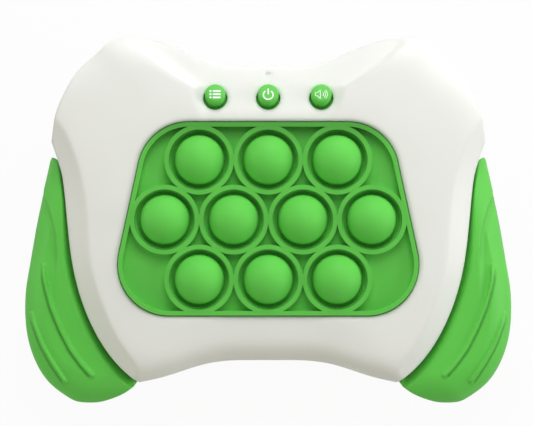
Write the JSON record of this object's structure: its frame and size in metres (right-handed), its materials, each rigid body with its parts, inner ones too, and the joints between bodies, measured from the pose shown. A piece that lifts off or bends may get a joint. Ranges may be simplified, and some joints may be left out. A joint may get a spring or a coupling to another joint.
{
  "type": "electronic bubble pop game",
  "caption": "Hand-held electronic bubble pop game: white body with green side grips, a raised panel of press bubbles in rings, push buttons above it and a hinged battery cover behind.",
  "frame": {"origin": "middle of the flat back, at the centre of the bounding box's bottom", "axes": "+X to the right of the face, +Y towards the push buttons, +Z out of the face; the game lies on its back"},
  "size_m": [0.165, 0.1232, 0.0418],
  "materials": {
    "white_shell": "satin",
    "green_grip": "satin",
    "green_panel": "satin",
    "green_silicone": "satin",
    "green_button": "satin, with white printed symbols",
    "board": "solder resist",
    "black_part": "moulded",
    "connector": "moulded",
    "switch_metal": "stamped",
    "contact_metal": "nickel plated",
    "screw_metal": "zinc plated",
    "lamp": "moulded",
    "clear_pipe": "clear",
    "cell_can": "plain sleeve",
    "wire_red": "satin",
    "wire_black": "satin",
    "ribbon": "satin",
    "speaker_metal": "satin",
    "gasket": "foam"
  },
  "bodies": {
    "case": {"front_shell": "white_shell", "rear_shell": "white_shell", "right_grip": "green_grip", "left_grip": "green_grip", "bubble_panel": "green_panel", "light_pipe": "clear_pipe", "main_board": "board", "button_board": "board", "bubble_switches": "switch_metal", "button_switches": "switch_metal", "bubble_leds": "lamp", "status_led": "lamp", "controller_chip": "black_part", "driver_chip": "black_part", "capacitors": "black_part", "board_connectors": "connector", "button_ribbon": "ribbon", "battery_1": "cell_can", "battery_2": "cell_can", "battery_3": "cell_can", "upper_contacts": "contact_metal", "lower_contacts": "contact_metal", "battery_lead_positive": "wire_red", "battery_lead_negative": "wire_black", "speaker": "speaker_metal", "speaker_gasket": "gasket", "speaker_clamp": "black_part", "speaker_leads": "wire_black", "case_screws": "screw_metal", "panel_screws": "screw_metal", "board_screws": "screw_metal", "button_board_screws": "screw_metal", "speaker_screws": "screw_metal", "grip_screws": "screw_metal"},
    "cover": {"battery_cover": "white_shell", "cover_screw": "screw_metal"},
    "bubble_01": {"bubble_01": "green_silicone"},
    "bubble_02": {"bubble_02": "green_silicone"},
    "bubble_03": {"bubble_03": "green_silicone"},
    "bubble_04": {"bubble_04": "green_silicone"},
    "bubble_05": {"bubble_05": "green_silicone"},
    "bubble_06": {"bubble_06": "green_silicone"},
    "bubble_07": {"bubble_07": "green_silicone"},
    "bubble_08": {"bubble_08": "green_silicone"},
    "bubble_09": {"bubble_09": "green_silicone"},
    "bubble_10": {"bubble_10": "green_silicone"},
    "menu_button": {"menu_button": "green_button"},
    "power_button": {"power_button": "green_button"},
    "volume_button": {"volume_button": "green_button"}
  },
  "joints": [
    {"name": "bubble_01_press", "type": "slide", "parent": "case", "child": "bubble_01", "axis": [0, 0, -1], "range_m": [0, 0.003], "stiffness_N_per_m": 1000},
    {"name": "bubble_02_press", "type": "slide", "parent": "case", "child": "bubble_02", "axis": [0, 0, -1], "range_m": [0, 0.003], "stiffness_N_per_m": 1000},
    {"name": "bubble_03_press", "type": "slide", "parent": "case", "child": "bubble_03", "axis": [0, 0, -1], "range_m": [0, 0.003], "stiffness_N_per_m": 1000},
    {"name": "bubble_04_press", "type": "slide", "parent": "case", "child": "bubble_04", "axis": [0, 0, -1], "range_m": [0, 0.003], "stiffness_N_per_m": 1000},
    {"name": "bubble_05_press", "type": "slide", "parent": "case", "child": "bubble_05", "axis": [0, 0, -1], "range_m": [0, 0.003], "stiffness_N_per_m": 1000},
    {"name": "bubble_06_press", "type": "slide", "parent": "case", "child": "bubble_06", "axis": [0, 0, -1], "range_m": [0, 0.003], "stiffness_N_per_m": 1000},
    {"name": "bubble_07_press", "type": "slide", "parent": "case", "child": "bubble_07", "axis": [0, 0, -1], "range_m": [0, 0.003], "stiffness_N_per_m": 1000},
    {"name": "bubble_08_press", "type": "slide", "parent": "case", "child": "bubble_08", "axis": [0, 0, -1], "range_m": [0, 0.003], "stiffness_N_per_m": 1000},
    {"name": "bubble_09_press", "type": "slide", "parent": "case", "child": "bubble_09", "axis": [0, 0, -1], "range_m": [0, 0.003], "stiffness_N_per_m": 1000},
    {"name": "bubble_10_press", "type": "slide", "parent": "case", "child": "bubble_10", "axis": [0, 0, -1], "range_m": [0, 0.003], "stiffness_N_per_m": 1000},
    {"name": "menu_button_press", "type": "slide", "parent": "case", "child": "menu_button", "axis": [0, -0.342, -0.9397], "range_m": [0, 0.001], "stiffness_N_per_m": 1500},
    {"name": "power_button_press", "type": "slide", "parent": "case", "child": "power_button", "axis": [0, -0.342, -0.9397], "range_m": [0, 0.001], "stiffness_N_per_m": 1500},
    {"name": "volume_button_press", "type": "slide", "parent": "case", "child": "volume_button", "axis": [0, -0.342, -0.9397], "range_m": [0, 0.001], "stiffness_N_per_m": 1500},
    {"name": "cover_hinge", "type": "hinge", "parent": "case", "child": "cover", "pos_m": [0, -0.03345, 0.0018], "axis": [-1, 0, 0], "range_deg": [0, 70]}
  ]
}
